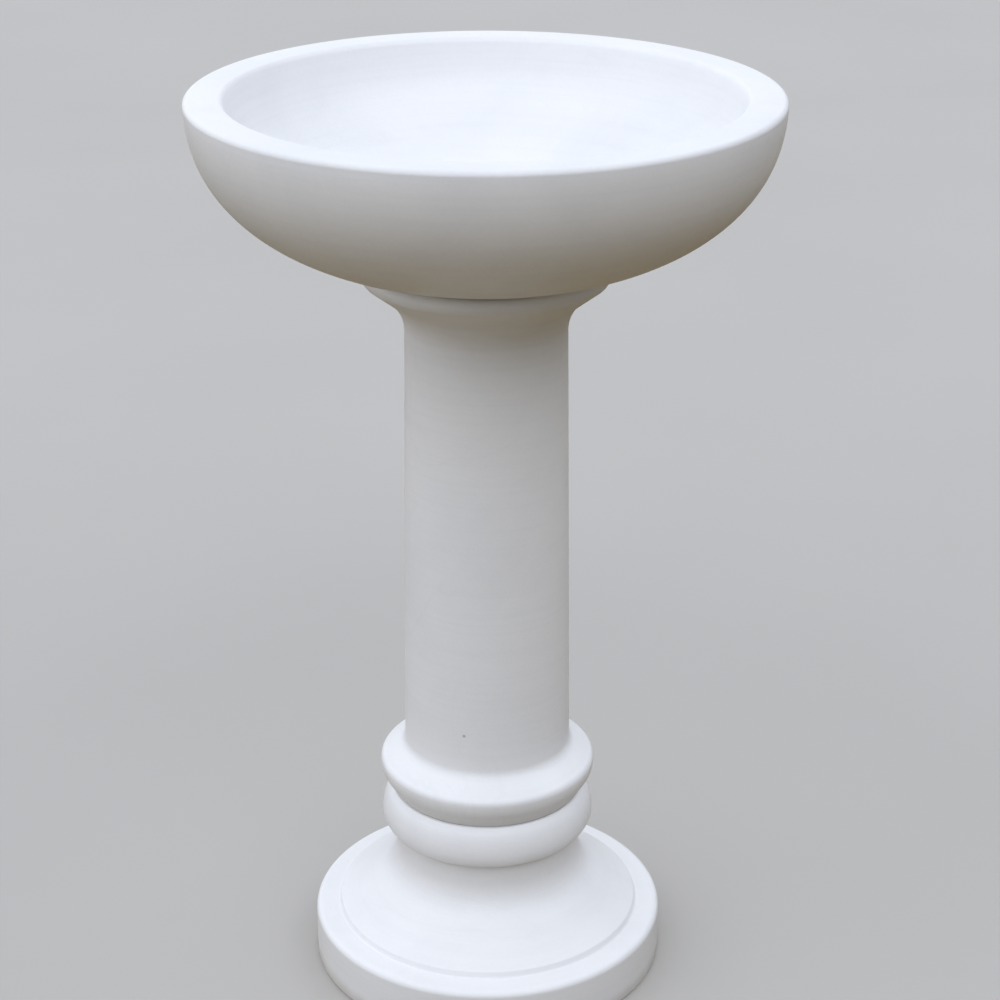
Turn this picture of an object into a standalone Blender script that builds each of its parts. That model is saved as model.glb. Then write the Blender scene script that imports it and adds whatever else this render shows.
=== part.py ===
"""Garden bird bath of turned white marble: a bowl that lifts off a column bonded to its base.

Metres, +Z up. The origin is the centre of the base's underside, where it stands on the ground.
The three stones are solids of revolution about Z. The hidden fixings that hold them together
are modelled as well: a threaded stud through the base, and a dowel that locates the bowl.
"""

import math

import bmesh
import bpy

GAP = 0.0003  # clearance kept between two pieces that touch

# Overall sizes
TOTAL_HEIGHT = 0.760
BOWL_RADIUS = 0.2295
LIP_RADIUS = 0.0987
SHAFT_TOP_RADIUS = 0.0651
SHAFT_FOOT_RADIUS = 0.0699
FOOT_RING_RADIUS = 0.0910
MOULDING_RADIUS = 0.0902
NECK_RADIUS = 0.0785
PLINTH_RADIUS = 0.1503

# Heights of the faces where the stones meet
BASE_TOP = 0.1608
COLUMN_FOOT = 0.1622
COLUMN_TOP = 0.6246
BOWL_FOOT = 0.6276

# Bowl: outside and inside are both half of a superellipse (a slightly squared ellipse)
OUTSIDE_CENTRE_Z = 0.7634
OUTSIDE_DEPTH = 0.1432
OUTSIDE_POWER = 2.332
BASIN_RADIUS = 0.1985
BASIN_FLOOR = 0.6630
BASIN_CENTRE_Z = 0.7560
BASIN_POWER = 2.5
WALL_END_TURN = 84  # degrees round each superellipse at which the rim's rounding takes over
RIM_OUTER_ROUNDING = 0.0042
RIM_INNER_ROUNDING = 0.0045

# Column: a lip on a flare, a tapered shaft, and a foot ring undercut towards the joint
LIP_ROUNDING = 0.0070
FLARE_TURN = 52
FLARE_ROUNDING = 0.036
FLARE_START_Z = 0.571
SHAFT_FOOT_Z = 0.2090
FOOT_FILLET = 0.0100
FOOT_FILLET_TURN = 65
FOOT_RING_Z = 0.1860
FOOT_RING_ROUNDING = 0.0070
FOOT_RING_UNDERSIDE = 0.0140
FOOT_RING_TURNS = (68, -48)
JOINT_EDGE_RADIUS = 0.0805

# Base: egg-shaped moulding, hollow neck, bell, small step and plinth
MOULDING_Z = 0.1370
MOULDING_BULGE = 0.0165
MOULDING_UPPER = 0.0265
MOULDING_LOWER = 0.0155
HOLLOW_RADIUS = 0.0380
HOLLOW_TURN = 50
SHOULDER_TURN = 9
STEP_RADIUS = 0.1290
STEP_Z = 0.0485
STEP_ROUNDING = 0.0022
STEP_HALF_LENGTH = 0.0017
STEP_SLOPE = 14
PLINTH_SLOPE = 88
PLINTH_EDGE_Z = 0.0451
PLINTH_ROUNDING = 0.0058
PLINTH_CHAMFER = 0.0020

# Dowel that locates the bowl, its resin, and the bush it turns in
PIN_RADIUS = 0.0100
PIN_BOTTOM = 0.5340
PIN_TOP = 0.6430
PIN_HOLE_RADIUS = 0.0120
PIN_HOLE_DEPTH = 0.0950
BUSH_RADIUS = 0.0140
BUSH_CLEARANCE = 0.0004
BUSH_CROWN = 0.0020
BUSH_HOLE_RADIUS = 0.0170
BUSH_HOLE_DEPTH = 0.0220

# Rubber ring under the bowl, and the bed of setting mortar under the column
SEAT_RING_RADII = (0.050, 0.084)
BED_RADII = (0.024, 0.0795)

# Stud and its fastening in the recess under the base
STUD_RADIUS = 0.0080
STUD_BOTTOM = 0.0080
STUD_TOP = 0.2880
STUD_HOLE_RADIUS = 0.0110
STUD_HOLE_DEPTH = 0.1300
RECESS_RADIUS = 0.0360
RECESS_DEPTH = 0.0340
PLATE_WASHER_RADIUS = 0.0300
PLATE_WASHER_BORE = 0.0088
PLATE_WASHER_THICKNESS = 0.0050
LOCK_WASHER_RADIUS = 0.0137
LOCK_WASHER_BORE = 0.0085
LOCK_WASHER_THICKNESS = 0.0035
LOCK_WASHER_SPLIT = 0.0016
NUT_ACROSS_FLATS = 0.0240
NUT_HEIGHT = 0.0130
NUT_BORE = STUD_RADIUS + GAP
NUT_CHAMFER = 0.0002
NUT_CHAMFER_ANGLE = math.radians(30)
SPLIT_ANGLE = math.radians(25)
EDGE_CHAMFER = 0.0010

STONE_SEGMENTS = 64
FITTING_SEGMENTS = 32
NUT_SIDES = 6
SHARP_ANGLE = math.radians(30)


def clear_scene():
    for thing in list(bpy.data.objects):
        bpy.data.objects.remove(thing, do_unlink=True)


def make_material(name, colour, roughness, metallic=0.0):
    material = bpy.data.materials.new(name)
    material.use_nodes = True
    shader = material.node_tree.nodes["Principled BSDF"]
    shader.inputs["Base Color"].default_value = (*colour, 1.0)
    shader.inputs["Roughness"].default_value = roughness
    shader.inputs["Metallic"].default_value = metallic
    return material


def arc(centre, radii, start, end, steps):
    """Points (radius, height) along an elliptical arc, with angles in degrees from +radius."""
    points = []
    for step in range(steps + 1):
        angle = math.radians(start + (end - start) * step / steps)
        points.append((
            centre[0] + radii[0] * math.cos(angle),
            centre[1] + radii[1] * math.sin(angle),
        ))
    return points


def superellipse(radius, depth, centre_z, power, start, end, steps):
    """Points of a squared ellipse, with angles in degrees: 0 at its lowest point, 90 at its side."""
    points = []
    for step in range(steps + 1):
        angle = math.radians(start + (end - start) * step / steps)
        points.append((
            radius * math.sin(angle) ** (2 / power),
            centre_z - depth * math.cos(angle) ** (2 / power),
        ))
    return points


def turn(name, outline, material, segments, closed=False):
    """Solid of revolution. The outline runs down the outer side, and inner sides run up."""
    mesh = bpy.data.meshes.new(name)
    shape = bmesh.new()
    corners = [shape.verts.new((radius, 0.0, height)) for radius, height in outline]
    for first, second in zip(corners, corners[1:]):
        shape.edges.new((first, second))
    if closed:
        shape.edges.new((corners[-1], corners[0]))
    shape.to_mesh(mesh)
    shape.free()
    piece = bpy.data.objects.new(name, mesh)
    bpy.context.scene.collection.objects.link(piece)
    lathe = piece.modifiers.new("Lathe", "SCREW")
    lathe.axis = "Z"
    lathe.angle = math.tau
    lathe.steps = lathe.render_steps = segments
    lathe.use_merge_vertices = True
    lathe.merge_threshold = 0.00001
    bpy.context.view_layer.objects.active = piece
    bpy.ops.object.modifier_apply(modifier=lathe.name)
    mesh.shade_smooth()
    mesh.set_sharp_from_angle(angle=SHARP_ANGLE)
    mesh.materials.append(material)
    return piece


def ring_outline(inner, outer, bottom, top):
    """Closed outline of a flat ring."""
    return [(inner, top), (outer, top), (outer, bottom), (inner, bottom)]


def rod_outline(radius, bottom, top, chamfer):
    """Outline of a round bar on the axis, with chamfered ends."""
    return [
        (0.0, top),
        (radius - chamfer, top),
        (radius, top - chamfer),
        (radius, bottom + chamfer),
        (radius - chamfer, bottom),
        (0.0, bottom),
    ]


def cup_outline(inner, outer, open_end, inside_end, outside_end):
    """Outline of a cup on the axis. It opens upwards if open_end is the higher end."""
    walls = [
        (0.0, inside_end),
        (inner, inside_end),
        (inner, open_end),
        (outer, open_end),
        (outer, outside_end),
        (0.0, outside_end),
    ]
    return walls if open_end > outside_end else walls[::-1]


def make_bowl(marble):
    """Thick bowl: basin, flat rim with soft edges, rounded underside, and a flat foot to sit on."""
    basin = superellipse(
        BASIN_RADIUS, BASIN_CENTRE_Z - BASIN_FLOOR, BASIN_CENTRE_Z, BASIN_POWER,
        0, WALL_END_TURN, 11,
    )
    inner_edge = arc(
        (BASIN_RADIUS + RIM_INNER_ROUNDING, TOTAL_HEIGHT - RIM_INNER_ROUNDING),
        (RIM_INNER_ROUNDING, RIM_INNER_ROUNDING), 180, 90, 3,
    )
    outer_edge = arc(
        (BOWL_RADIUS - RIM_OUTER_ROUNDING, TOTAL_HEIGHT - RIM_OUTER_ROUNDING),
        (RIM_OUTER_ROUNDING, RIM_OUTER_ROUNDING), 90, 0, 3,
    )
    foot_cosine = ((OUTSIDE_CENTRE_Z - BOWL_FOOT) / OUTSIDE_DEPTH) ** (OUTSIDE_POWER / 2)
    foot_angle = math.degrees(math.acos(foot_cosine))
    underside = superellipse(
        BOWL_RADIUS, OUTSIDE_DEPTH, OUTSIDE_CENTRE_Z, OUTSIDE_POWER,
        WALL_END_TURN, foot_angle, 12,
    )
    hole_top = BOWL_FOOT + BUSH_HOLE_DEPTH
    hole = [(BUSH_HOLE_RADIUS, BOWL_FOOT), (BUSH_HOLE_RADIUS, hole_top), (0.0, hole_top)]
    outline = basin + inner_edge + outer_edge + underside + hole
    return turn("bowl", outline, marble, STONE_SEGMENTS)


def make_column(marble):
    """Column: flared capital with a rounded lip, tapered shaft, and a foot ring with an undercut."""
    cove = arc(
        (SHAFT_TOP_RADIUS + FLARE_ROUNDING, FLARE_START_Z),
        (FLARE_ROUNDING, FLARE_ROUNDING), 180 - FLARE_TURN, 180, 6,
    )
    lip = arc(
        (LIP_RADIUS - LIP_ROUNDING, COLUMN_TOP - LIP_ROUNDING),
        (LIP_ROUNDING, LIP_ROUNDING), 90, FLARE_TURN - 90, 5,
    )
    fillet = arc(
        (SHAFT_FOOT_RADIUS + FOOT_FILLET, SHAFT_FOOT_Z),
        (FOOT_FILLET, FOOT_FILLET), 180, 180 + FOOT_FILLET_TURN, 4,
    )
    ring_core = (FOOT_RING_RADIUS - FOOT_RING_ROUNDING, FOOT_RING_Z)
    ring = arc(ring_core, (FOOT_RING_ROUNDING, FOOT_RING_ROUNDING), FOOT_RING_TURNS[0], 0, 4)
    ring += arc(ring_core, (FOOT_RING_ROUNDING, FOOT_RING_UNDERSIDE), 0, FOOT_RING_TURNS[1], 4)[1:]
    pin_hole_bottom = COLUMN_TOP - PIN_HOLE_DEPTH
    stud_hole_top = COLUMN_FOOT + STUD_HOLE_DEPTH
    top_hole = [
        (0.0, pin_hole_bottom),
        (PIN_HOLE_RADIUS, pin_hole_bottom),
        (PIN_HOLE_RADIUS, COLUMN_TOP),
    ]
    foot = [
        (JOINT_EDGE_RADIUS, COLUMN_FOOT),
        (STUD_HOLE_RADIUS, COLUMN_FOOT),
        (STUD_HOLE_RADIUS, stud_hole_top),
        (0.0, stud_hole_top),
    ]
    return turn("column", top_hole + lip + cove + fillet + ring + foot, marble, STONE_SEGMENTS)


def step_outline():
    """Small sloping step at the bell's edge: over, down, and out onto the plinth's top."""
    slope = math.radians(STEP_SLOPE)
    reach = (
        STEP_ROUNDING * math.cos(slope) + STEP_HALF_LENGTH * math.sin(slope),
        STEP_ROUNDING * math.sin(slope) - STEP_HALF_LENGTH * math.cos(slope),
    )
    over = arc(
        (STEP_RADIUS - reach[0], STEP_Z - reach[1]),
        (STEP_ROUNDING, STEP_ROUNDING), HOLLOW_TURN + SHOULDER_TURN, STEP_SLOPE, 2,
    )
    out = arc(
        (STEP_RADIUS + reach[0], STEP_Z + reach[1]),
        (STEP_ROUNDING, STEP_ROUNDING), 180 + STEP_SLOPE, 180 + PLINTH_SLOPE, 3,
    )
    return over + out


def bell_outline(edge):
    """Hollow below the moulding, running into a shoulder that curves much less, to its edge."""
    turns = [math.radians(turned) for turned in (HOLLOW_TURN, HOLLOW_TURN + SHOULDER_TURN)]
    sines = [math.sin(turned) for turned in turns]
    cosines = [math.cos(turned) for turned in turns]
    shoulder_width = edge[0] - NECK_RADIUS - HOLLOW_RADIUS * (1 - cosines[0])
    shoulder_radius = shoulder_width / (cosines[0] - cosines[1])
    shoulder = arc(
        (edge[0] + shoulder_radius * cosines[1], edge[1] + shoulder_radius * sines[1]),
        (shoulder_radius, shoulder_radius),
        180 + HOLLOW_TURN, 180 + HOLLOW_TURN + SHOULDER_TURN, 3,
    )
    neck_z = shoulder[0][1] + HOLLOW_RADIUS * sines[0]
    hollow = arc(
        (NECK_RADIUS + HOLLOW_RADIUS, neck_z), (HOLLOW_RADIUS, HOLLOW_RADIUS),
        180, 180 + HOLLOW_TURN, 6,
    )
    return hollow + shoulder[1:]


def make_base(marble):
    """Base: rounded moulding, hollow neck, bell, step, plinth, and a bore with a nut recess."""
    core = MOULDING_RADIUS - MOULDING_BULGE
    top_angle = math.degrees(math.asin((BASE_TOP - MOULDING_Z) / MOULDING_UPPER))
    upper = arc((core, MOULDING_Z), (MOULDING_BULGE, MOULDING_UPPER), top_angle, 0, 7)
    neck_angle = math.degrees(math.acos((NECK_RADIUS - core) / MOULDING_BULGE))
    lower = arc((core, MOULDING_Z), (MOULDING_BULGE, MOULDING_LOWER), 0, -neck_angle, 6)[1:]
    step = step_outline()
    plinth_edge = arc(
        (PLINTH_RADIUS - PLINTH_ROUNDING, PLINTH_EDGE_Z - PLINTH_ROUNDING),
        (PLINTH_ROUNDING, PLINTH_ROUNDING), PLINTH_SLOPE, 0, 5,
    )
    bottom = [
        (PLINTH_RADIUS, PLINTH_CHAMFER),
        (PLINTH_RADIUS - PLINTH_CHAMFER, 0.0),
        (RECESS_RADIUS, 0.0),
        (RECESS_RADIUS, RECESS_DEPTH),
        (STUD_HOLE_RADIUS, RECESS_DEPTH),
        (STUD_HOLE_RADIUS, BASE_TOP),
    ]
    outline = upper + lower + bell_outline(step[0]) + step[1:] + plinth_edge + bottom
    return turn("base", outline, marble, STONE_SEGMENTS, closed=True)


def make_bowl_fixings(steel, resin, plastic, rubber):
    """Rubber ring, dowel set in the column, and the bush set in the bowl's blind hole."""
    seat = ring_outline(*SEAT_RING_RADII, COLUMN_TOP + GAP, BOWL_FOOT - GAP)
    turn("bowl_seat_ring", seat, rubber, STONE_SEGMENTS, closed=True)

    turn("bowl_pin", rod_outline(PIN_RADIUS, PIN_BOTTOM, PIN_TOP, EDGE_CHAMFER), steel,
         FITTING_SEGMENTS)
    pin_resin = cup_outline(
        PIN_RADIUS + GAP, PIN_HOLE_RADIUS - GAP,
        COLUMN_TOP - EDGE_CHAMFER, PIN_BOTTOM - GAP, COLUMN_TOP - PIN_HOLE_DEPTH + GAP,
    )
    turn("pin_resin", pin_resin, resin, FITTING_SEGMENTS)

    crown = PIN_TOP + BUSH_CROWN
    bush = cup_outline(
        PIN_RADIUS + BUSH_CLEARANCE, BUSH_RADIUS, BOWL_FOOT + GAP, crown, crown + BUSH_CROWN
    )
    turn("bowl_pin_bush", bush, plastic, FITTING_SEGMENTS)
    bush_resin = cup_outline(
        BUSH_RADIUS + GAP, BUSH_HOLE_RADIUS - GAP,
        BOWL_FOOT + EDGE_CHAMFER, crown + BUSH_CROWN + GAP, BOWL_FOOT + BUSH_HOLE_DEPTH - GAP,
    )
    turn("bush_resin", bush_resin, resin, FITTING_SEGMENTS)


def make_base_fixings(steel, resin, mortar):
    """Mortar bed, the stud set in the column's foot, and its washers and nut under the base."""
    bed = ring_outline(*BED_RADII, BASE_TOP + GAP, COLUMN_FOOT - GAP)
    turn("base_joint_bed", bed, mortar, STONE_SEGMENTS, closed=True)

    turn("base_stud", rod_outline(STUD_RADIUS, STUD_BOTTOM, STUD_TOP, EDGE_CHAMFER), steel,
         FITTING_SEGMENTS)
    stud_resin = cup_outline(
        STUD_RADIUS + GAP, STUD_HOLE_RADIUS - GAP,
        COLUMN_FOOT + EDGE_CHAMFER, STUD_TOP + GAP, COLUMN_FOOT + STUD_HOLE_DEPTH - GAP,
    )
    turn("stud_resin", stud_resin, resin, FITTING_SEGMENTS)

    plate_top = RECESS_DEPTH - GAP
    plate_bottom = plate_top - PLATE_WASHER_THICKNESS
    plate = rod_outline(PLATE_WASHER_RADIUS, plate_bottom, plate_top, EDGE_CHAMFER)
    plate[0] = (PLATE_WASHER_BORE, plate_top)
    plate[-1] = (PLATE_WASHER_BORE, plate_bottom)
    turn("base_plate_washer", plate, steel, FITTING_SEGMENTS, closed=True)

    lock_top = plate_bottom - GAP
    lock_bottom = lock_top - LOCK_WASHER_THICKNESS
    make_lock_washer(lock_bottom, lock_top, steel)
    make_nut(lock_bottom - GAP, steel)


def make_lock_washer(bottom, top, steel):
    """Spring washer, drawn flat as when tightened, with its slanting split."""
    washer = turn(
        "base_lock_washer",
        ring_outline(LOCK_WASHER_BORE, LOCK_WASHER_RADIUS, bottom, top),
        steel, FITTING_SEGMENTS, closed=True,
    )
    reach = LOCK_WASHER_RADIUS - LOCK_WASHER_BORE
    bpy.ops.mesh.primitive_cube_add(
        size=1.0,
        location=((LOCK_WASHER_RADIUS + LOCK_WASHER_BORE) / 2, 0.0, (bottom + top) / 2),
        rotation=(SPLIT_ANGLE, 0.0, 0.0),
        scale=(2 * reach, LOCK_WASHER_SPLIT, 3 * LOCK_WASHER_THICKNESS),
    )
    cut_away(washer, "lock_washer_split")
    return washer


def make_nut(top, steel):
    """Hexagon nut: a six-sided bar, its corners turned off at both ends, bored for the stud."""
    bottom = top - NUT_HEIGHT
    middle = (0.0, 0.0, (top + bottom) / 2)
    corner_radius = NUT_ACROSS_FLATS / 2 / math.cos(math.pi / NUT_SIDES)
    bpy.ops.mesh.primitive_cylinder_add(
        vertices=NUT_SIDES, radius=corner_radius, depth=NUT_HEIGHT, location=middle
    )
    nut = bpy.context.object
    nut.name = nut.data.name = "base_nut"
    nut.data.materials.append(steel)
    face_radius = NUT_ACROSS_FLATS / 2 - NUT_CHAMFER
    drop = (corner_radius - face_radius) * math.tan(NUT_CHAMFER_ANGLE)
    outside = [
        (0.0, top + GAP),
        (face_radius, top + GAP),
        (corner_radius + GAP, top - drop),
        (corner_radius + GAP, bottom + drop),
        (face_radius, bottom - GAP),
        (0.0, bottom - GAP),
    ]
    turning = turn("nut_turning", outside, steel, FITTING_SEGMENTS)
    cut_away(nut, "nut_turning", turning, "INTERSECT")
    bpy.ops.mesh.primitive_cylinder_add(
        vertices=FITTING_SEGMENTS, radius=NUT_BORE, depth=2 * NUT_HEIGHT, location=middle
    )
    cut_away(nut, "nut_bore")
    return nut


def cut_away(piece, name, cutter=None, operation="DIFFERENCE"):
    """Boolean of the piece with a cutter, which is the active object when none is given."""
    cutter = cutter or bpy.context.object
    cutter.name = cutter.data.name = name
    cutter.hide_render = True
    cutter.display_type = "WIRE"
    boolean = piece.modifiers.new(name, "BOOLEAN")
    boolean.operation = operation
    boolean.solver = "EXACT"
    boolean.object = cutter


def main():
    clear_scene()
    marble = make_material("white_marble", (0.80, 0.80, 0.80), 0.45)
    steel = make_material("stainless_steel", (0.58, 0.58, 0.57), 0.32, 1.0)
    resin = make_material("stone_resin", (0.55, 0.50, 0.40), 0.35)
    plastic = make_material("white_plastic", (0.75, 0.75, 0.72), 0.40)
    rubber = make_material("seat_rubber", (0.03, 0.03, 0.03), 0.80)
    mortar = make_material("setting_mortar", (0.60, 0.58, 0.55), 0.90)
    make_bowl(marble)
    make_column(marble)
    make_base(marble)
    make_bowl_fixings(steel, resin, plastic, rubber)
    make_base_fixings(steel, resin, mortar)


main()
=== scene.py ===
# %% [markdown]
# # A garden bird bath in turned white marble
#
# Three blocks of white marble were turned on a stone lathe: a bowl, a column and a base. A
# threaded stud and a thin mortar joint hold the column on the base, and a short dowel keeps the
# bowl where it belongs. This notebook starts from the measured solids of those pieces, called the
# frame, and gives each one its real surface: smooth turned outlines, real threads, and marble that
# has cloud, grain and the faint rings a cutting tool leaves.

# %% Load the frame
import math

import bpy
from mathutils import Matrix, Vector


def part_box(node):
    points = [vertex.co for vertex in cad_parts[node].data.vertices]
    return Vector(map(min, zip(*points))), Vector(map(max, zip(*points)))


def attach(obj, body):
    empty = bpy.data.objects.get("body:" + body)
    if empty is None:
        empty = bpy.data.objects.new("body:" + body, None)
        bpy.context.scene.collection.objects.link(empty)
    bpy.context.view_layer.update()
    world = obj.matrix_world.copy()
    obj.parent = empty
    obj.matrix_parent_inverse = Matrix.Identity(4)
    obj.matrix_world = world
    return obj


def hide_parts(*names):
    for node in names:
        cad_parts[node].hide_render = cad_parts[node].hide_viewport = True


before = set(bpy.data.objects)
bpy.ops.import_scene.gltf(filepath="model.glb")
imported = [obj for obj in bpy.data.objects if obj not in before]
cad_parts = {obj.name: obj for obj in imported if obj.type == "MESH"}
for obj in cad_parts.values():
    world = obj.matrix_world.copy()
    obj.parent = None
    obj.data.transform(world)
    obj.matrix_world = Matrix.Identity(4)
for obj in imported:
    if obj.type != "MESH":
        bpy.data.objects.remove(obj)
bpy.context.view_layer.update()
print("frame:", ", ".join(sorted(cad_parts)))

# %% [markdown]
# ## A lathe made of three edit-mode tools
#
# A turned stone is one outline swept once round its axis. It could be built from stacked
# cylinders, but then every curve would be a guess. Instead a small plane is merged to a single
# point, the point is extruded along the outline, and Spin carries that line round the axis. The
# seam is closed by merging doubles, and the faces are turned outwards afterwards, because Spin
# doesn't know which side is solid.

# %% Outline helpers
FULL_TURN = math.tau
STONE_STEPS = 192
FITTING_STEPS = 64
SEAM = 0.00001


def arc(centre, radii, start, end, steps):
    """Points (radius, height) on an elliptical arc, with angles in degrees from +radius."""
    turns = [math.radians(start + (end - start) * step / steps) for step in range(steps + 1)]
    return [
        (centre[0] + radii[0] * math.cos(turn), centre[1] + radii[1] * math.sin(turn))
        for turn in turns
    ]


def squared_arc(radius, depth, centre_z, power, start, end, steps):
    """The same for a squared ellipse, 0 degrees at its lowest point and 90 at its side."""
    turns = [math.radians(start + (end - start) * step / steps) for step in range(steps + 1)]
    return [
        (radius * math.sin(turn) ** (2 / power), centre_z - depth * math.cos(turn) ** (2 / power))
        for turn in turns
    ]


# %% The lathe
SHARP_EDGE = math.radians(30)


def draw_outline(name, outline, closed):
    """Leave edit mode open on a new object that holds the outline as a line of edges."""
    bpy.ops.object.select_all(action="DESELECT")
    bpy.ops.mesh.primitive_plane_add(size=SEAM)
    piece = bpy.context.object
    piece.name = piece.data.name = name
    bpy.ops.object.mode_set(mode="EDIT")
    bpy.ops.mesh.select_all(action="SELECT")
    bpy.ops.mesh.merge(type="CENTER")
    bpy.ops.transform.translate(value=(outline[0][0], 0.0, outline[0][1]))
    for (radius, height), (next_radius, next_height) in zip(outline, outline[1:]):
        bpy.ops.mesh.extrude_region_move(
            TRANSFORM_OT_translate={"value": (next_radius - radius, 0.0, next_height - height)}
        )
    if closed:
        bpy.ops.object.mode_set(mode="OBJECT")
        ends = (piece.data.vertices[0], piece.data.vertices[-1])
        for end in ends:
            end.select = True
        bpy.ops.object.mode_set(mode="EDIT")
        bpy.ops.mesh.edge_face_add()
    return piece


def turn_on_lathe(name, outline, steps, closed=False):
    """A solid of revolution about Z, closed and facing outwards."""
    piece = draw_outline(name, outline, closed)
    bpy.ops.mesh.select_all(action="SELECT")
    bpy.ops.mesh.spin(
        steps=steps, angle=FULL_TURN, center=(0.0, 0.0, 0.0), axis=(0.0, 0.0, 1.0)
    )
    bpy.ops.mesh.select_all(action="SELECT")
    bpy.ops.mesh.remove_doubles(threshold=SEAM)
    bpy.ops.mesh.normals_make_consistent(inside=False)
    bpy.ops.object.mode_set(mode="OBJECT")
    bpy.ops.object.shade_smooth_by_angle(angle=SHARP_EDGE)
    return piece


def settle(piece, body, node):
    """The piece rides on its body and stands for its node. Prints what was made."""
    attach(piece, body)
    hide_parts(node)
    spans = [max(values) - min(values) for values in zip(*piece.bound_box)]
    size = " x ".join(f"{1000 * span:.1f}" for span in spans)
    print(f"{piece.name}: {len(piece.data.polygons)} faces, {size} mm")


# %% [markdown]
# ## The bowl
#
# The bowl is the widest stone: a deep basin, a flat rim as wide as a thumb, and a belly that
# runs in to a small flat foot. Both curves are a little fuller than a circle, so each is a squared
# ellipse. The edges of the rim are only just eased, which is what gives it its crisp line, and a
# blind hole under the foot takes the dowel.

# %% Bowl outline
bowl_low, bowl_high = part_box("bowl")
BOWL_RADIUS = bowl_high[0]
BOWL_TOP = bowl_high[2]
BOWL_FOOT = bowl_low[2]
OUTSIDE_CENTRE_Z = 0.7634
OUTSIDE_DEPTH = 0.1432
OUTSIDE_POWER = 2.332
BASIN_RADIUS = 0.1985
BASIN_FLOOR = 0.6630
BASIN_CENTRE_Z = 0.7560
BASIN_POWER = 2.5
WALL_END_TURN = 85
RIM_OUTER_EASE = 0.0042
RIM_INNER_EASE = 0.0045
FOOT_EASE = 0.0008
HOLE_RADIUS = 0.0170
HOLE_TOP = BOWL_FOOT + 0.0220

foot_turn = math.degrees(
    math.acos(((OUTSIDE_CENTRE_Z - BOWL_FOOT) / OUTSIDE_DEPTH) ** (OUTSIDE_POWER / 2))
)
basin = squared_arc(
    BASIN_RADIUS, BASIN_CENTRE_Z - BASIN_FLOOR, BASIN_CENTRE_Z, BASIN_POWER, 0, WALL_END_TURN, 44
)
inner_edge = arc(
    (BASIN_RADIUS + RIM_INNER_EASE, BOWL_TOP - RIM_INNER_EASE),
    (RIM_INNER_EASE, RIM_INNER_EASE), 180, 90, 8,
)
outer_edge = arc(
    (BOWL_RADIUS - RIM_OUTER_EASE, BOWL_TOP - RIM_OUTER_EASE),
    (RIM_OUTER_EASE, RIM_OUTER_EASE), 90, 0, 8,
)
belly = squared_arc(
    BOWL_RADIUS, OUTSIDE_DEPTH, OUTSIDE_CENTRE_Z, OUTSIDE_POWER, WALL_END_TURN, foot_turn, 44
)
blind_hole = [
    (HOLE_RADIUS + FOOT_EASE, BOWL_FOOT),
    (HOLE_RADIUS, BOWL_FOOT + FOOT_EASE),
    (HOLE_RADIUS, HOLE_TOP),
    (0.0, HOLE_TOP),
]
bowl_stone = turn_on_lathe(
    "bowl_stone", basin + inner_edge + outer_edge + belly + blind_hole, STONE_STEPS
)
settle(bowl_stone, "bowl", "bowl")

# %% [markdown]
# ## The column
#
# The column starts under the bowl with a rounded lip on a wide flare, tapers very slightly the
# other way down to its foot, and ends in a soft ring that is undercut towards the joint. The
# flare and the fillet are plain arcs, since that is what a turner's template gives. The two
# holes for the fixings are part of the same outline.

# %% Column outline
column_low, column_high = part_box("column")
COLUMN_TOP = column_high[2]
COLUMN_FOOT = column_low[2]
LIP_RADIUS = column_high[0]
LIP_EASE = 0.0070
FLARE_TURN = 52
FLARE_RADIUS = 0.036
FLARE_START_Z = 0.571
SHAFT_TOP_RADIUS = 0.0651
SHAFT_FOOT_RADIUS = 0.0699
SHAFT_FOOT_Z = 0.2090
FOOT_FILLET = 0.0100
FOOT_FILLET_TURN = 65
RING_RADIUS = 0.0910
RING_Z = 0.1860
RING_EASE = 0.0070
RING_UNDERSIDE = 0.0140
RING_TURNS = (68, -48)
JOINT_EDGE_RADIUS = 0.0805
PIN_HOLE = (0.0120, COLUMN_TOP - 0.0950)
STUD_HOLE = (0.0110, COLUMN_FOOT + 0.1300)
HOLE_EASE = 0.0006

lip = arc(
    (LIP_RADIUS - LIP_EASE, COLUMN_TOP - LIP_EASE), (LIP_EASE, LIP_EASE), 90, FLARE_TURN - 90, 14
)
flare = arc(
    (SHAFT_TOP_RADIUS + FLARE_RADIUS, FLARE_START_Z),
    (FLARE_RADIUS, FLARE_RADIUS), 180 - FLARE_TURN, 180, 20,
)
fillet = arc(
    (SHAFT_FOOT_RADIUS + FOOT_FILLET, SHAFT_FOOT_Z),
    (FOOT_FILLET, FOOT_FILLET), 180, 180 + FOOT_FILLET_TURN, 14,
)
ring_core = (RING_RADIUS - RING_EASE, RING_Z)
ring = arc(ring_core, (RING_EASE, RING_EASE), RING_TURNS[0], 0, 10)
ring += arc(ring_core, (RING_EASE, RING_UNDERSIDE), 0, RING_TURNS[1], 10)[1:]
top_hole = [
    (0.0, PIN_HOLE[1]),
    PIN_HOLE,
    (PIN_HOLE[0], COLUMN_TOP - HOLE_EASE),
    (PIN_HOLE[0] + HOLE_EASE, COLUMN_TOP),
]
foot = [
    (JOINT_EDGE_RADIUS, COLUMN_FOOT + HOLE_EASE),
    (JOINT_EDGE_RADIUS - HOLE_EASE, COLUMN_FOOT),
    (STUD_HOLE[0] + HOLE_EASE, COLUMN_FOOT),
    (STUD_HOLE[0], COLUMN_FOOT + HOLE_EASE),
    STUD_HOLE,
    (0.0, STUD_HOLE[1]),
]
column_stone = turn_on_lathe(
    "column_stone", top_hole + lip + flare + fillet + ring + foot, STONE_STEPS
)
settle(column_stone, "pedestal", "column")

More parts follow.
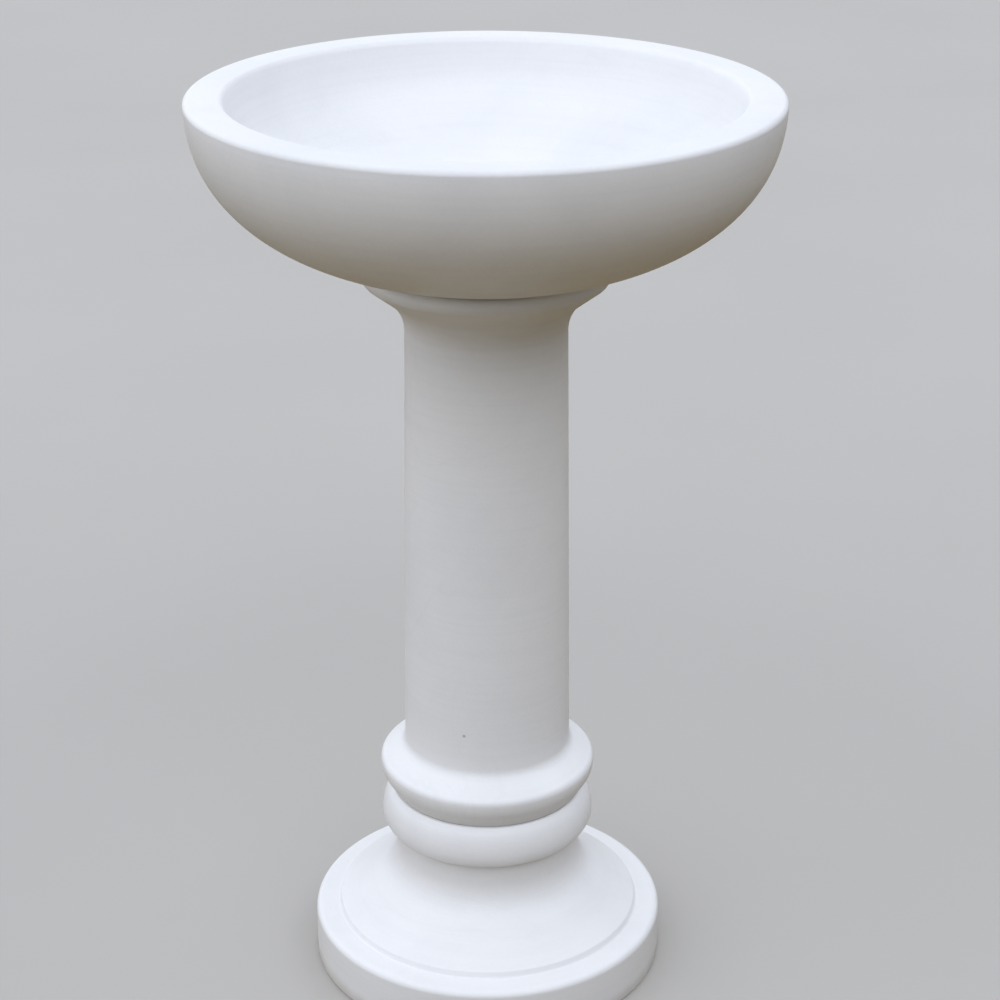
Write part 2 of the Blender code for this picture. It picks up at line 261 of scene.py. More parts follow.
# %% [markdown]
# ## The base
#
# The base has the busiest outline: an egg-shaped moulding that mirrors the ring above it, a
# hollow that sweeps out into a broad shoulder, a small steep step, and a thick plinth with one
# eased edge. The hollow and the shoulder are two arcs that share a tangent, because a single arc either
# bulges at the bottom or pinches at the neck. A bore and a recess underneath take the stud.

# %% Base outline
base_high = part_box("base")[1]
BASE_TOP = base_high[2]
PLINTH_RADIUS = base_high[0]
MOULDING_RADIUS = 0.0902
MOULDING_Z = 0.1370
MOULDING_BULGE = 0.0165
MOULDING_UPPER = 0.0265
MOULDING_LOWER = 0.0155
NECK_RADIUS = 0.0785
HOLLOW_RADIUS = 0.0380
HOLLOW_TURN = 50
SHOULDER_END_TURN = 59
STEP_RADIUS = 0.1290
STEP_Z = 0.0485
STEP_EASE = 0.0022
STEP_HALF_LENGTH = 0.0017
STEP_SLOPE = 14
PLINTH_SLOPE = 88
PLINTH_EDGE_Z = 0.0451
PLINTH_EASE = 0.0058
PLINTH_CHAMFER = 0.0020
RECESS = (0.0360, 0.0340)

moulding_core = (MOULDING_RADIUS - MOULDING_BULGE, MOULDING_Z)
top_turn = math.degrees(math.asin((BASE_TOP - MOULDING_Z) / MOULDING_UPPER))
neck_turn = math.degrees(math.acos((NECK_RADIUS - moulding_core[0]) / MOULDING_BULGE))
moulding = arc(moulding_core, (MOULDING_BULGE, MOULDING_UPPER), top_turn, 0, 20)
moulding += arc(moulding_core, (MOULDING_BULGE, MOULDING_LOWER), 0, -neck_turn, 16)[1:]
slant = math.radians(STEP_SLOPE)
reach = STEP_EASE * math.cos(slant) + STEP_HALF_LENGTH * math.sin(slant)
rise = STEP_EASE * math.sin(slant) - STEP_HALF_LENGTH * math.cos(slant)
step = arc(
    (STEP_RADIUS - reach, STEP_Z - rise), (STEP_EASE, STEP_EASE),
    SHOULDER_END_TURN, STEP_SLOPE, 5,
)
step += arc(
    (STEP_RADIUS + reach, STEP_Z + rise), (STEP_EASE, STEP_EASE),
    180 + STEP_SLOPE, 180 + PLINTH_SLOPE, 8,
)

# %% Hollow and shoulder
turns = [math.radians(turn) for turn in (HOLLOW_TURN, SHOULDER_END_TURN)]
cosines, sines = [math.cos(turn) for turn in turns], [math.sin(turn) for turn in turns]
edge_radius, edge_z = step[0]
shoulder_radius = (
    edge_radius - NECK_RADIUS - HOLLOW_RADIUS * (1 - cosines[0])
) / (cosines[0] - cosines[1])
shoulder = arc(
    (edge_radius + shoulder_radius * cosines[1], edge_z + shoulder_radius * sines[1]),
    (shoulder_radius, shoulder_radius), 180 + HOLLOW_TURN, 180 + SHOULDER_END_TURN, 12,
)
neck_z = shoulder[0][1] + HOLLOW_RADIUS * sines[0]
hollow = arc(
    (NECK_RADIUS + HOLLOW_RADIUS, neck_z), (HOLLOW_RADIUS, HOLLOW_RADIUS),
    180, 180 + HOLLOW_TURN, 20,
)
print(f"the hollow starts {1000 * neck_z:.1f} mm up")

# %% Turn the base
plinth = arc(
    (PLINTH_RADIUS - PLINTH_EASE, PLINTH_EDGE_Z - PLINTH_EASE),
    (PLINTH_EASE, PLINTH_EASE), PLINTH_SLOPE, 0, 10,
)
underside = [
    (PLINTH_RADIUS, PLINTH_CHAMFER),
    (PLINTH_RADIUS - PLINTH_CHAMFER, 0.0),
    (RECESS[0] + HOLE_EASE, 0.0),
    (RECESS[0], HOLE_EASE),
    RECESS,
    (STUD_HOLE[0], RECESS[1]),
    (STUD_HOLE[0], BASE_TOP - HOLE_EASE),
    (STUD_HOLE[0] + HOLE_EASE, BASE_TOP),
]
base_stone = turn_on_lathe(
    "base_stone", moulding + hollow + shoulder[1:] + step[1:] + plinth + underside,
    STONE_STEPS, closed=True,
)
settle(base_stone, "pedestal", "base")

# %% [markdown]
# ## The rubber ring and the mortar joint
#
# Two flat rings lie between the stones. The bowl sits on soft rubber, which spreads its weight
# and keeps it from grinding on the column. The column stands on a bed of fine mortar, pointed by
# hand, so its outer face wanders a little: the ring is turned, then its edge is nudged.

# %% Ring helper
EASE_STEPS = 4


def eased_ring(inner, outer, bottom, top, ease):
    """Closed outline of a flat ring whose four edges are rounded."""
    corners = [
        ((outer - ease, top - ease), 90), ((outer - ease, bottom + ease), 0),
        ((inner + ease, bottom + ease), -90), ((inner + ease, top - ease), -180),
    ]
    return [
        point for centre, start in corners
        for point in arc(centre, (ease, ease), start, start - 90, EASE_STEPS)
    ]


# %% Rubber ring and mortar bed
SEAT_INNER = 0.0500
BED_INNER = 0.0240
RUBBER_EASE = 0.0006
MORTAR_EASE = 0.0002
MORTAR_WANDER = 0.00012

low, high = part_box("bowl_seat_ring")
seat_ring = turn_on_lathe(
    "seat_ring", eased_ring(SEAT_INNER, high[0], low[2], high[2], RUBBER_EASE),
    STONE_STEPS, closed=True,
)
settle(seat_ring, "seat", "bowl_seat_ring")

low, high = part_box("base_joint_bed")
joint_mortar = turn_on_lathe(
    "joint_mortar", eased_ring(BED_INNER, high[0], low[2], high[2], MORTAR_EASE),
    STONE_STEPS, closed=True,
)
bpy.ops.object.mode_set(mode="EDIT")
bpy.ops.mesh.select_all(action="SELECT")
bpy.ops.transform.vertex_random(offset=MORTAR_WANDER, seed=3)
bpy.ops.object.mode_set(mode="OBJECT")
settle(joint_mortar, "pedestal", "base_joint_bed")

# %% [markdown]
# ## Dowel, bush and resin
#
# The dowel is a short stainless bar set in the column with resin. It has grooves round its lower
# half, so that the resin grips it, and a polished upper half that slides into a plastic bush in
# the bowl. Resin creeps up the walls of its hole as it sets, so each sleeve of resin ends in a
# hollow curve instead of a flat face.

# %% Dowel
DOWEL_CHAMFER = 0.0012
GROOVE_DEPTH = 0.0008
GROOVE_WIDTH = 0.0022
GROOVE_PITCH = 0.0090
GROOVES = 7
LOWEST_GROOVE = 0.0080

low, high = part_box("bowl_pin")
dowel_radius, dowel_bottom, dowel_top = high[0], low[2], high[2]
outline = [
    (0.0, dowel_bottom), (dowel_radius - DOWEL_CHAMFER, dowel_bottom),
    (dowel_radius, dowel_bottom + DOWEL_CHAMFER),
]
for groove in range(GROOVES):
    middle = (dowel_radius, dowel_bottom + LOWEST_GROOVE + groove * GROOVE_PITCH)
    outline += arc(middle, (-GROOVE_DEPTH, GROOVE_WIDTH / 2), -90, 90, 6)
outline += [
    (dowel_radius, dowel_top - DOWEL_CHAMFER),
    (dowel_radius - DOWEL_CHAMFER, dowel_top), (0.0, dowel_top),
]
dowel = turn_on_lathe("dowel", outline, FITTING_STEPS)
settle(dowel, "pedestal", "bowl_pin")

# %% Sleeves
RESIN_WALL = 0.0014
RESIN_CREEP = 0.0006
STUD_RESIN_WALL = 0.0024
BUSH_RESIN_WALL = 0.0024
BUSH_BORE = 0.0104
BUSH_MOUTH = 0.0006
BUSH_CROWN = 0.0020
RESIN_FLOOR = 0.0023


def sleeve(name, node, body, wall, floor, opens_up):
    """A cup of resin that fills the space between a bar and its hole, hollow at its mouth."""
    low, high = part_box(node)
    outer, inner = high[0], high[0] - wall
    mouth, shut = (high[2], low[2]) if opens_up else (low[2], high[2])
    inwards = 1 if opens_up else -1
    rim = arc(
        ((inner + outer) / 2, mouth), (wall / 2, -inwards * RESIN_CREEP), 180, 0, 6
    )
    outline = [(0.0, shut + inwards * floor), (inner, shut + inwards * floor)]
    outline += rim + [(outer, shut), (0.0, shut)]
    piece = turn_on_lathe(name, outline, FITTING_STEPS)
    settle(piece, body, node)
    return piece


dowel_resin = sleeve("dowel_resin", "pin_resin", "pedestal", RESIN_WALL, RESIN_FLOOR, True)
stud_bond = sleeve("stud_bond", "stud_resin", "pedestal", STUD_RESIN_WALL, 0.0, False)
bush_bond = sleeve("bush_bond", "bush_resin", "bowl", BUSH_RESIN_WALL, 0.0, False)

# %% Bush
low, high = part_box("bowl_pin_bush")
bush_outline = [
    (0.0, high[2] - BUSH_CROWN), (BUSH_BORE, high[2] - BUSH_CROWN),
    (BUSH_BORE, low[2] + BUSH_MOUTH), (BUSH_BORE + BUSH_MOUTH, low[2]),
    (high[0] - BUSH_MOUTH, low[2]), (high[0], low[2] + BUSH_MOUTH),
    (high[0], high[2] - BUSH_MOUTH), (high[0] - BUSH_MOUTH, high[2]), (0.0, high[2]),
]
dowel_bush = turn_on_lathe("dowel_bush", bush_outline, FITTING_STEPS)
settle(dowel_bush, "bowl", "bowl_pin_bush")

# %% [markdown]
# ## A real thread
#
# The stud is a stainless bar with an M16 thread along its whole length. Rings would look right
# from far away, but a thread climbs, so one ridge is drawn and the Screw modifier lifts it by
# one pitch each turn. That leaves a helix with ragged ends. Two Bisect cuts square and cap it,
# and a Boolean with a chamfered bar gives the tapered first turn that lets a nut start.

# %% Threaded stud
THREAD_PITCH = 0.0020
THREAD_DEPTH = 0.00123
ROOT_FLAT = 0.25
CREST_FROM = 0.5625
CREST_TO = 0.6875
THREAD_STEPS = 32
STUD_CHAMFER = 0.0016
SPARE = 0.0005

low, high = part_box("base_stud")
stud_radius, stud_bottom, stud_top = high[0], low[2], high[2]
root_radius = stud_radius - THREAD_DEPTH
start_z = stud_bottom - 2 * THREAD_PITCH
ridge = [
    (root_radius, start_z),
    (root_radius, start_z + ROOT_FLAT * THREAD_PITCH),
    (stud_radius, start_z + CREST_FROM * THREAD_PITCH),
    (stud_radius, start_z + CREST_TO * THREAD_PITCH),
    (root_radius, start_z + THREAD_PITCH),
]
threaded_stud = draw_outline("threaded_stud", ridge, closed=False)
bpy.ops.object.mode_set(mode="OBJECT")
bpy.ops.object.modifier_add(type="SCREW")
helix = threaded_stud.modifiers[0]
helix.steps = helix.render_steps = THREAD_STEPS
helix.screw_offset = THREAD_PITCH
helix.iterations = round((stud_top - stud_bottom) / THREAD_PITCH) + 4
bpy.ops.object.modifier_apply(modifier=helix.name)
bpy.ops.object.mode_set(mode="EDIT")
bpy.ops.mesh.select_all(action="SELECT")
bpy.ops.mesh.remove_doubles(threshold=SEAM)
bpy.ops.object.mode_set(mode="OBJECT")


def cut_flat(height, keep_above):
    """Cut the active object level at a height, cap it, and keep one side."""
    bpy.ops.object.mode_set(mode="EDIT")
    bpy.ops.mesh.select_all(action="SELECT")
    bpy.ops.mesh.bisect(
        plane_co=(0.0, 0.0, height), plane_no=(0.0, 0.0, 1.0), use_fill=True,
        clear_inner=keep_above, clear_outer=not keep_above,
    )
    bpy.ops.object.mode_set(mode="OBJECT")


def combine(piece, other, operation):
    """Boolean of the piece with another object, which is used up."""
    bpy.ops.object.select_all(action="DESELECT")
    piece.select_set(True)
    bpy.context.view_layer.objects.active = piece
    bpy.ops.object.modifier_add(type="BOOLEAN")
    boolean = piece.modifiers[0]
    boolean.operation = operation
    boolean.solver = "EXACT"
    boolean.object = other
    bpy.ops.object.modifier_apply(modifier=boolean.name)
    bpy.data.objects.remove(other)


cut_flat(stud_bottom - SPARE, keep_above=True)
cut_flat(stud_top + SPARE, keep_above=False)
bpy.ops.object.mode_set(mode="EDIT")
bpy.ops.mesh.select_all(action="SELECT")
bpy.ops.mesh.normals_make_consistent(inside=False)
bpy.ops.object.mode_set(mode="OBJECT")

blank = [
    (0.0, stud_bottom), (stud_radius - STUD_CHAMFER, stud_bottom),
    (stud_radius + SPARE, stud_bottom + STUD_CHAMFER + SPARE),
    (stud_radius + SPARE, stud_top - STUD_CHAMFER - SPARE),
    (stud_radius - STUD_CHAMFER, stud_top), (0.0, stud_top),
]
combine(threaded_stud, turn_on_lathe("blank", blank, FITTING_STEPS), "INTERSECT")
bpy.ops.object.shade_smooth_by_angle(angle=SHARP_EDGE)
settle(threaded_stud, "pedestal", "base_stud")

# %% [markdown]
# ## Nut and washers
#
# A nut is cut from hexagon bar, then turned at both ends, so its corners slope away in six
# curves. A Boolean with a turned double cone gives exactly those curves, which a bevel can't.
# The plate washer spreads the nut's pull over the stone, and the spring washer between them,
# one coil of square wire with a slanting split, keeps the nut from working loose.

# %% Nut
NUT_BORE = 0.0083
NUT_FACE_INSET = 0.0004
NUT_CORNER_SLOPE = math.radians(30)
COUNTERSINK = 0.0009

low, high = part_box("base_nut")
nut_bottom, nut_top = low[2], high[2]
half_flats = high[0]
corner = half_flats / math.cos(math.pi / 6)
bpy.ops.object.select_all(action="DESELECT")
bpy.ops.mesh.primitive_cylinder_add(
    vertices=6, radius=corner, depth=nut_top - nut_bottom,
    location=(0.0, 0.0, (nut_top + nut_bottom) / 2),
)
hex_nut = bpy.context.object
hex_nut.name = hex_nut.data.name = "hex_nut"
bpy.ops.object.transform_apply(location=True, rotation=True, scale=True)

face = half_flats - NUT_FACE_INSET
slope = (corner + SPARE - face) * math.tan(NUT_CORNER_SLOPE)
turned_ends = [
    (0.0, nut_bottom), (face, nut_bottom), (corner + SPARE, nut_bottom + slope),
    (corner + SPARE, nut_top - slope), (face, nut_top), (0.0, nut_top),
]
combine(hex_nut, turn_on_lathe("turned_ends", turned_ends, STONE_STEPS), "INTERSECT")
bore = [
    (0.0, nut_bottom - SPARE), (NUT_BORE + COUNTERSINK + SPARE, nut_bottom - SPARE),
    (NUT_BORE, nut_bottom + COUNTERSINK), (NUT_BORE, nut_top - COUNTERSINK),
    (NUT_BORE + COUNTERSINK + SPARE, nut_top + SPARE), (0.0, nut_top + SPARE),
]
combine(hex_nut, turn_on_lathe("nut_bore", bore, FITTING_STEPS), "DIFFERENCE")
bpy.ops.object.shade_smooth_by_angle(angle=SHARP_EDGE)
settle(hex_nut, "pedestal", "base_nut")

# %% Washers
PLATE_BORE = 0.0088
PLATE_EASE = 0.0007
SPRING_BORE = 0.0085
SPRING_EASE = 0.0003
SPLIT_WIDTH = 0.0016
SPLIT_SLANT = math.radians(25)

low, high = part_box("base_plate_washer")
plate_washer = turn_on_lathe(
    "plate_washer", eased_ring(PLATE_BORE, high[0], low[2], high[2], PLATE_EASE),
    FITTING_STEPS, closed=True,
)
settle(plate_washer, "pedestal", "base_plate_washer")

low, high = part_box("base_lock_washer")
spring_outer = -low[0]
spring_washer = turn_on_lathe(
    "spring_washer", eased_ring(SPRING_BORE, spring_outer, low[2], high[2], SPRING_EASE),
    FITTING_STEPS, closed=True,
)
bpy.ops.object.select_all(action="DESELECT")
bpy.ops.mesh.primitive_cube_add(
    size=1.0, location=((spring_outer + SPRING_BORE) / 2, 0.0, (low[2] + high[2]) / 2),
    rotation=(SPLIT_SLANT, 0.0, 0.0),
    scale=(2 * (spring_outer - SPRING_BORE), SPLIT_WIDTH, 3 * (high[2] - low[2])),
)
combine(spring_washer, bpy.context.object, "DIFFERENCE")
bpy.ops.object.shade_smooth_by_angle(angle=SHARP_EDGE)
settle(spring_washer, "pedestal", "base_lock_washer")

# %% [markdown]
# ## Writing materials as sums
#
# A material is a graph of nodes, and most of its nodes only add or multiply. Placing those by
# hand hides the idea, so here an output socket is wrapped in a small class: adding two of them
# adds a Math node. Every other node comes from one method that takes its type, settings and
# inputs, so a finish reads like a recipe. A sky is a graph too, and is written the same way.

# %% Signal and Recipe
class Signal:
    """The output of a node. Arithmetic on it adds Math nodes to its material."""

    def __init__(self, recipe, socket):
        self.recipe, self.socket = recipe, socket

    def math(self, operation, *values):
        return self.recipe.node(
            "ShaderNodeMath", {"operation": operation}, dict(enumerate(values))
        )

    def __add__(self, other):
        return self.math("ADD", self, other)

    def __sub__(self, other):
        return self.math("SUBTRACT", self, other)

    def __rsub__(self, other):
        return self.math("SUBTRACT", other, self)

    def __mul__(self, other):
        return self.math("MULTIPLY", self, other)

    def __pow__(self, power):
        return self.math("POWER", self, power)

    def __abs__(self):
        return self.math("ABSOLUTE", self)

    __radd__ = __add__
    __rmul__ = __mul__


class Recipe:
    """The nodes of one material or sky, with its place on the piece or its direction."""

    def __init__(self, owner, place):
        owner.use_nodes = True
        self.owner, self.tree = owner, owner.node_tree
        self.place = self.node("ShaderNodeTexCoord", output=place)

    def feed(self, socket, value):
        if isinstance(value, Signal):
            self.tree.links.new(value.socket, socket)
        else:
            socket.default_value = value

    def node(self, kind, settings=None, inputs=None, output=0):
        made = self.tree.nodes.new(kind)
        for name, value in (settings or {}).items():
            setattr(made, name, value)
        for socket, value in (inputs or {}).items():
            self.feed(made.inputs[socket], value)
        return Signal(self, made.outputs[output])

    def mix(self, share, first, second):
        """Colour that goes from the first to the second as the share goes from 0 to 1."""
        return self.node(
            "ShaderNodeMix", {"data_type": "RGBA"}, {0: share, 6: first, 7: second}, output=2
        )

    def noise(self, at, scale, detail=3.0, roughness=0.5, distortion=0.0):
        return self.node(
            "ShaderNodeTexNoise", {},
            {"Vector": at, "Scale": scale, "Detail": detail, "Roughness": roughness,
             "Distortion": distortion},
        )

    def cells(self, at, scale, output="Distance"):
        return self.node("ShaderNodeTexVoronoi", {}, {"Vector": at, "Scale": scale}, output)

    def stretch(self, at, **how):
        """The place, moved, turned or scaled by a Mapping node."""
        return self.node("ShaderNodeMapping", {}, {"Vector": at, **how})

    def step(self, value, low, high, bottom=0.0, top=1.0):
        """Soft step: bottom below low, top above high."""
        return self.node(
            "ShaderNodeMapRange", {"interpolation_type": "SMOOTHSTEP"},
            {"Value": value, "From Min": low, "From Max": high, "To Min": bottom, "To Max": top},
        )

    def split(self, vector):
        return [self.node("ShaderNodeSeparateXYZ", {}, {0: vector}, axis) for axis in "XYZ"]

    def tool_path(self):
        """Radius and height, which is all that a tool on a lathe follows."""
        x, y, z = self.split(self.place)
        return self.node("ShaderNodeCombineXYZ", {}, {0: (x * x + y * y) ** 0.5, 2: z})

    def bump(self, height, depth, under=None):
        """Normal of a surface that rises by depth metres as the height goes from 0 to 1."""
        inputs = {"Height": height, "Strength": 1.0, "Distance": depth}
        if under is not None:
            inputs["Normal"] = under
        return self.node("ShaderNodeBump", {}, inputs)



class Finish(Recipe):
    """A material, built up round its Principled shader."""

    def __init__(self, name, metallic=0.0):
        super().__init__(bpy.data.materials.new(name), "Object")
        self.shader = self.tree.nodes["Principled BSDF"]
        self.shader.inputs["Metallic"].default_value = metallic

    def surface(self, colour, roughness, normal=None):
        for socket, value in (("Base Color", colour), ("Roughness", roughness), ("Normal", normal)):
            if value is not None:
                self.feed(self.shader.inputs[socket], value)

    def wear(self, *pieces):
        for piece in pieces:
            piece.data.materials.clear()
            piece.data.materials.append(self.owner)
        print(f"{self.owner.name}: {len(self.tree.nodes)} nodes on "
              + ", ".join(piece.name for piece in pieces))


# %% [markdown]
# ## White marble
#
# White marble is almost plain: its life is in soft grey cloud a hand wide, a few hair-thin veins,
# a sugary grain about a millimetre across, and the odd dark fleck of another mineral. The tool
# adds shallow rings, which follow radius and height instead of the block, so they are drawn from
# those two numbers. The hollow of the base is darkened with painted shade, and the plinth turns
# darker in a ragged band towards the floor. Each stone is cut from its own part of the block: same
# recipe, another place.

# %% Marble colours and sizes
MARBLE_WHITE = (0.870, 0.868, 0.862, 1.0)
MARBLE_GREY = (0.690, 0.700, 0.715, 1.0)
FLECK = (0.120, 0.105, 0.090, 1.0)
# Warm brown for the painted shade in the base's hollow and for the darker band at the plinth's foot.
WARM_BROWN = (0.330, 0.270, 0.190, 1.0)
CLOUD_SCALE = 9.0
VEIN_SCALE = 3.2
VEIN_BREAKS = 7.0
GRAIN_SCALE = 620.0
FLECK_SCALE = 34.0
RING_SCALE = 420.0
RING_DEPTH = 0.00006
GRAIN_DEPTH = 0.00003
PIT_SCALE = 260.0
PIT_DEPTH = 0.00012
STREAK_STRETCH = (6.0, 6.0, 260.0)
LOW_BAND_HEIGHTS = (0.006, 0.020)


# %% Marble patterns
def marble_colour(stone, inside, grain):
    """White with soft cloud, broken veins and grain."""
    cloud = stone.step(stone.noise(inside, CLOUD_SCALE, 6.0, 0.6, 0.6), 0.42, 0.75)
    thread = abs(stone.noise(inside, VEIN_SCALE, 5.0, 0.55, 1.4) - 0.5)
    broken = stone.step(stone.noise(inside, VEIN_BREAKS, 3.0), 0.45, 0.65)
    vein = stone.step(thread, 0.0, 0.012, 1.0, 0.0) * broken
    colour = stone.mix(0.22 * cloud + 0.10 * vein, MARBLE_WHITE, MARBLE_GREY)
    return stone.mix(0.06 * grain, colour, MARBLE_GREY)


def marble_flecks(stone, inside, fleck_at):
    """1 on rare dark flecks, and on one more at a given place."""
    chosen = stone.split(stone.cells(inside, FLECK_SCALE, "Color"))[1]
    fleck = stone.step(stone.cells(inside, FLECK_SCALE), 0.012, 0.030, 1.0, 0.0)
    fleck = fleck * stone.step(chosen, 0.90, 0.92)
    if fleck_at:
        away = stone.node(
            "ShaderNodeVectorMath", {"operation": "DISTANCE"}, {0: stone.place, 1: fleck_at},
            "Value",
        )
        wobble = away + 0.0008 * stone.noise(stone.place, 900.0, 1.0)
        fleck = fleck + stone.step(wobble, 0.0012, 0.0021, 1.0, 0.0)
    return fleck


def marble_hollow_shade(stone, z, heights):
    """Painted shade between the lowest and highest height, most of it at the middle one."""
    lowest, middle, highest = heights
    painted_shade = stone.step(z, lowest, middle) * stone.step(z, middle, highest, 1.0, 0.0)
    return 0.10 * painted_shade + 0.10 * painted_shade * stone.noise(stone.place, 55.0, 4.0, 0.6)


# %% Marble
def marble(name, block, turned, fleck_at=None, hollow_shade=None):
    """Honed white marble. block is where the stone was cut from, and turned is how it lay."""
    stone = Finish(name)
    z = stone.split(stone.place)[2]
    inside = stone.stretch(stone.place, Location=block, Rotation=turned)
    grain, sparkle, _ = stone.split(stone.cells(inside, GRAIN_SCALE, "Color"))

    colour = marble_colour(stone, inside, grain)
    colour = stone.mix(0.50 * marble_flecks(stone, inside, fleck_at), colour, FLECK)
    # Painted shade: the hollow under the base's moulding is mixed towards warm brown.
    if hollow_shade:
        colour = stone.mix(marble_hollow_shade(stone, z, hollow_shade), colour, WARM_BROWN)
    # The plinth is mixed towards warm brown in a ragged band, darkest nearest the floor.
    low_band = stone.step(
        z + 0.010 * stone.noise(stone.place, 60.0, 4.0), *LOW_BAND_HEIGHTS, 1.0, 0.0
    )
    colour = stone.mix(0.35 * low_band, colour, WARM_BROWN)
    streaks = stone.noise(stone.stretch(stone.place, Scale=STREAK_STRETCH), 1.0, 3.0, 0.6)
    colour = stone.mix(0.10 * stone.step(streaks, 0.40, 0.75), colour, MARBLE_GREY)

    rings = stone.noise(stone.tool_path(), RING_SCALE, 2.0, 0.6)
    pits = stone.noise(inside, PIT_SCALE, 3.0, 0.6)
    normal = stone.bump(rings, RING_DEPTH)
    normal = stone.bump(grain, GRAIN_DEPTH, normal)
    normal = stone.bump(pits, PIT_DEPTH, normal)
    glint = stone.step(sparkle, 0.93, 0.96)
    roughness = 0.42 + 0.10 * pits + 0.06 * grain - 0.05 * rings - 0.15 * glint
    stone.surface(colour, roughness, normal)
    return stone


marble("marble_bowl", (0.3, 1.1, 0.2), (0.3, 0.5, 0.2)).wear(bowl_stone)
marble(
    "marble_column", (2.2, 0.4, 1.6), (1.2, 0.2, 0.7), fleck_at=(-0.019, -0.0665, 0.240)
).wear(column_stone)
# The base gets painted shade in its hollow, from 75 to 128 mm up.
marble(
    "marble_base", (4.1, 2.3, 0.9), (0.4, 1.0, 1.3), hollow_shade=(0.075, 0.112, 0.128)
).wear(base_stone)

# %% [markdown]
# ## Stainless steel, resin, plastic, rubber and mortar
#
# Stainless steel shows the direction it was worked in: rings on turned and rolled pieces. Resin is
# cloudy, with bubbles frozen in it. The plastic bush is off-white with a faint moulded texture,
# the rubber is dusty and matt, and the mortar is sand seen close up. Each is one or two noises at
# the right scale, since none of them is more than a few centimetres across.

# %% Steel
STEEL = (0.600, 0.590, 0.570, 1.0)
STEEL_DULL = (0.470, 0.460, 0.445, 1.0)


def steel(name, ring_scale):
    bar = Finish(name, metallic=1.0)
    rings = bar.noise(bar.tool_path(), ring_scale, 4.0, 0.7)
    stain = bar.noise(bar.place, 90.0, 4.0)
    scuff = bar.noise(bar.place, 1500.0, 2.0)
    bar.surface(
        bar.mix(stain, STEEL_DULL, STEEL),
        0.22 + 0.16 * rings + 0.12 * stain,
        bar.bump(scuff, 0.00002, bar.bump(rings, 0.00003)),
    )
    return bar


steel("turned_steel", 2600.0).wear(dowel, plate_washer, hex_nut, spring_washer)
steel("rolled_steel", 900.0).wear(threaded_stud)

# %% Resin
RESIN = (0.560, 0.500, 0.390, 1.0)
RESIN_DEEP = (0.420, 0.350, 0.240, 1.0)

resin = Finish("cured_resin")
milky = resin.noise(resin.place, 160.0, 4.0, 0.6, 0.5)
bubble = resin.cells(resin.place, 700.0)
pit = resin.step(bubble, 0.10, 0.35, 1.0, 0.0) * resin.step(milky, 0.50, 0.62)
resin.surface(
    resin.mix(milky, RESIN_DEEP, RESIN), 0.22 + 0.25 * milky + 0.2 * pit,
    resin.bump(1 - pit, 0.0001, resin.bump(milky, 0.0002)),
)
resin.wear(dowel_resin, stud_bond, bush_bond)

# %% Plastic
ACETAL = (0.780, 0.775, 0.750, 1.0)
ACETAL_WORN = (0.640, 0.620, 0.580, 1.0)

plastic = Finish("moulded_plastic")
mottle = plastic.noise(plastic.place, 240.0, 3.0)
texture = plastic.noise(plastic.place, 2200.0, 2.0)
plastic.surface(
    plastic.mix(plastic.step(mottle, 0.5, 0.8), ACETAL, ACETAL_WORN),
    0.34 + 0.16 * texture, plastic.bump(texture, 0.00003),
)
plastic.wear(dowel_bush)

# %% Rubber
RUBBER = (0.022, 0.022, 0.023, 1.0)
RUBBER_DUSTY = (0.085, 0.082, 0.078, 1.0)

rubber = Finish("sheet_rubber")
dust = rubber.noise(rubber.place, 120.0, 5.0, 0.65)
cloth_mark = rubber.noise(rubber.place, 1400.0, 1.0)
rubber.surface(
    rubber.mix(rubber.step(dust, 0.45, 0.75), RUBBER, RUBBER_DUSTY),
    0.70 + 0.2 * dust, rubber.bump(cloth_mark, 0.00006),
)
rubber.wear(seat_ring)

# %% Mortar
MORTAR = (0.600, 0.585, 0.550, 1.0)
SAND = (0.420, 0.395, 0.350, 1.0)

mortar = Finish("white_mortar")
sand = mortar.cells(mortar.place, 1300.0)
lumps = mortar.noise(mortar.place, 320.0, 4.0, 0.7)
mortar.surface(
    mortar.mix(mortar.step(sand, 0.15, 0.5, 0.6, 0.0), MORTAR, SAND),
    0.80 + 0.15 * lumps, mortar.bump(lumps, 0.0003, mortar.bump(sand, 0.0001)),
)
mortar.wear(joint_mortar)

# %% [markdown]
# ## Studio
#
# White stone has no colour of its own to show, so its shape is drawn by light alone. Area lamps
# would do, but one sky is softer and simpler. Under trees it isn't even: dim near the ground
# where hedges stand, brightest half way up on the open side, and dim again under branches, so
# its strength is a sum of soft steps in height and a slope in direction. A bird bath stands on
# grass, which sends little light back up, and what it sends is warm. So the pale floor is hidden
# from the light that bounces off the stone, and an earth-coloured card just under it, which the
# camera can't see, takes its place: the belly of the bowl faces the card and stays in shade.

# %% Camera
CAMERA_DISTANCE = 1.7269
CAMERA_HEIGHT = 1.1656
LOOK_DOWN = 0.40623
LOOK_RIGHT = 0.00631
LENS_MM = 82.75

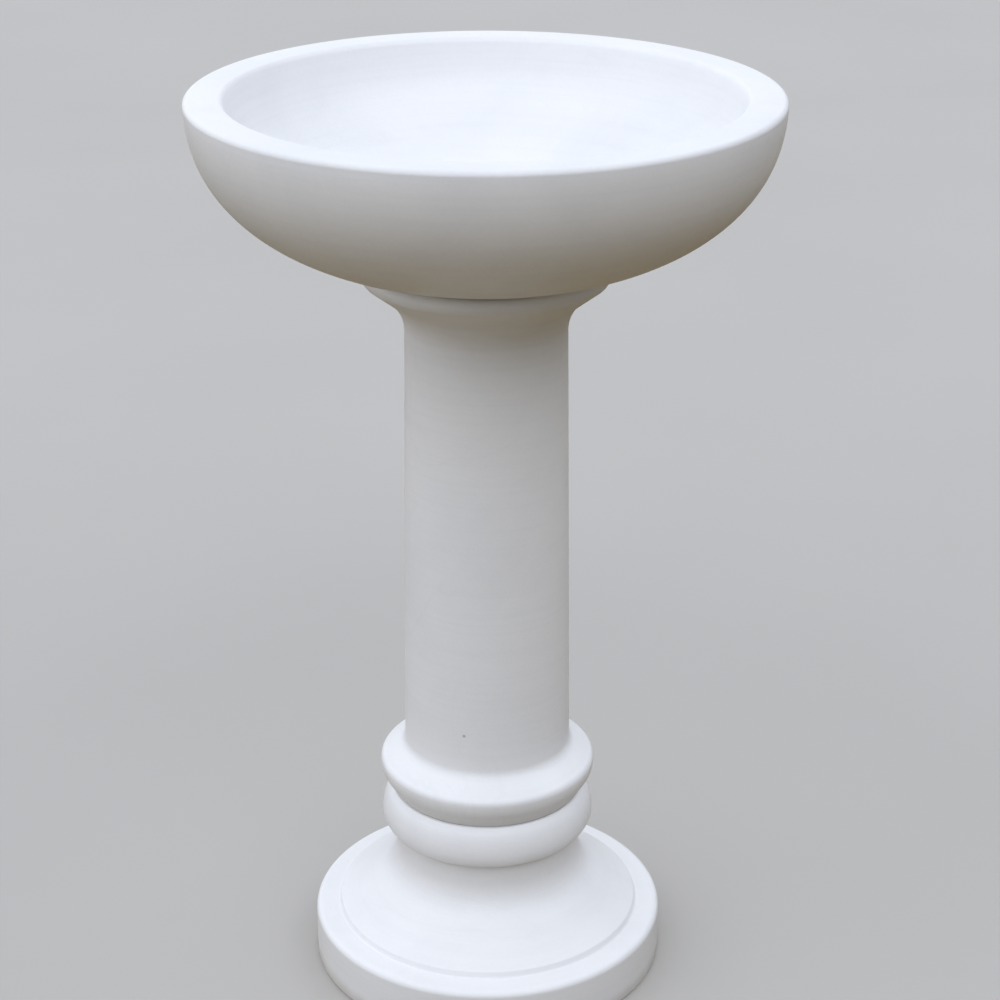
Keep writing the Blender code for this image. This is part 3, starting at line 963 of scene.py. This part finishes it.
bpy.ops.object.select_all(action="DESELECT")
bpy.ops.object.camera_add(
    location=(0.0, -CAMERA_DISTANCE, CAMERA_HEIGHT),
    rotation=(math.pi / 2 - LOOK_DOWN, 0.0, -LOOK_RIGHT),
)
camera = bpy.context.object
camera.data.lens = LENS_MM
camera.data.sensor_width = 36.0
bpy.context.scene.camera = camera
print("camera looks down", round(math.degrees(LOOK_DOWN), 1), "degrees")

# %% Floor and card
FLOOR_SIZE = 60.0
CARD_DROP = 0.0015
PLASTER = ((0.470, 0.450, 0.415, 1.0), (0.520, 0.500, 0.465, 1.0))
EARTH = ((0.235, 0.170, 0.075, 1.0), (0.315, 0.232, 0.110, 1.0))


def lay_sheet(name, height, colours, scale):
    """A wide level sheet in two close colours that drift into each other."""
    bpy.ops.mesh.primitive_plane_add(size=FLOOR_SIZE, location=(0.0, 0.0, height))
    sheet = bpy.context.object
    sheet.name = name
    paint = Finish(name)
    drift = paint.noise(paint.place, scale, 4.0)
    paint.surface(paint.mix(drift, *colours), 0.85 + 0.1 * drift)
    paint.wear(sheet)
    return sheet


floor = lay_sheet("pale_floor", 0.0, PLASTER, 1.5)
floor.visible_diffuse = floor.visible_glossy = False
card = lay_sheet("earth_card", -CARD_DROP, EARTH, 30.0)
card.visible_camera = card.visible_shadow = False

# %% Sky
SKY_TINT = (0.96, 1.01, 1.12, 1.0)
LOW_SKY = 0.72
LOW_EAST, LOW_NORTH = -0.65, 0.45
HIGH_SKY = 1.84
HIGH_EAST, HIGH_NORTH = 0.20, -0.75
TOP_SKY = 0.33
HEDGE_TOPS = (0.53, 0.62)
BRANCHES = (0.82, 0.91)

scene = bpy.context.scene
scene.world = bpy.data.worlds.new("overcast")
sky = Recipe(scene.world, "Generated")
background = sky.tree.nodes["Background"]
east, north, up = sky.split(sky.place)
low = LOW_SKY * (1.0 + LOW_EAST * east + LOW_NORTH * north)
high = HIGH_SKY * (1.0 + HIGH_EAST * east + HIGH_NORTH * north)
open_sky = sky.step(up, *HEDGE_TOPS)
below_branches = sky.step(up, *BRANCHES, 1.0, 0.0)
light = low * (1.0 - open_sky) + high * open_sky * below_branches
light = light + TOP_SKY * (1.0 - below_branches)
sky.feed(background.inputs["Color"], SKY_TINT)
sky.feed(background.inputs["Strength"], light)
scene.view_settings.view_transform = "Standard"
print("sky nodes:", len(sky.tree.nodes))
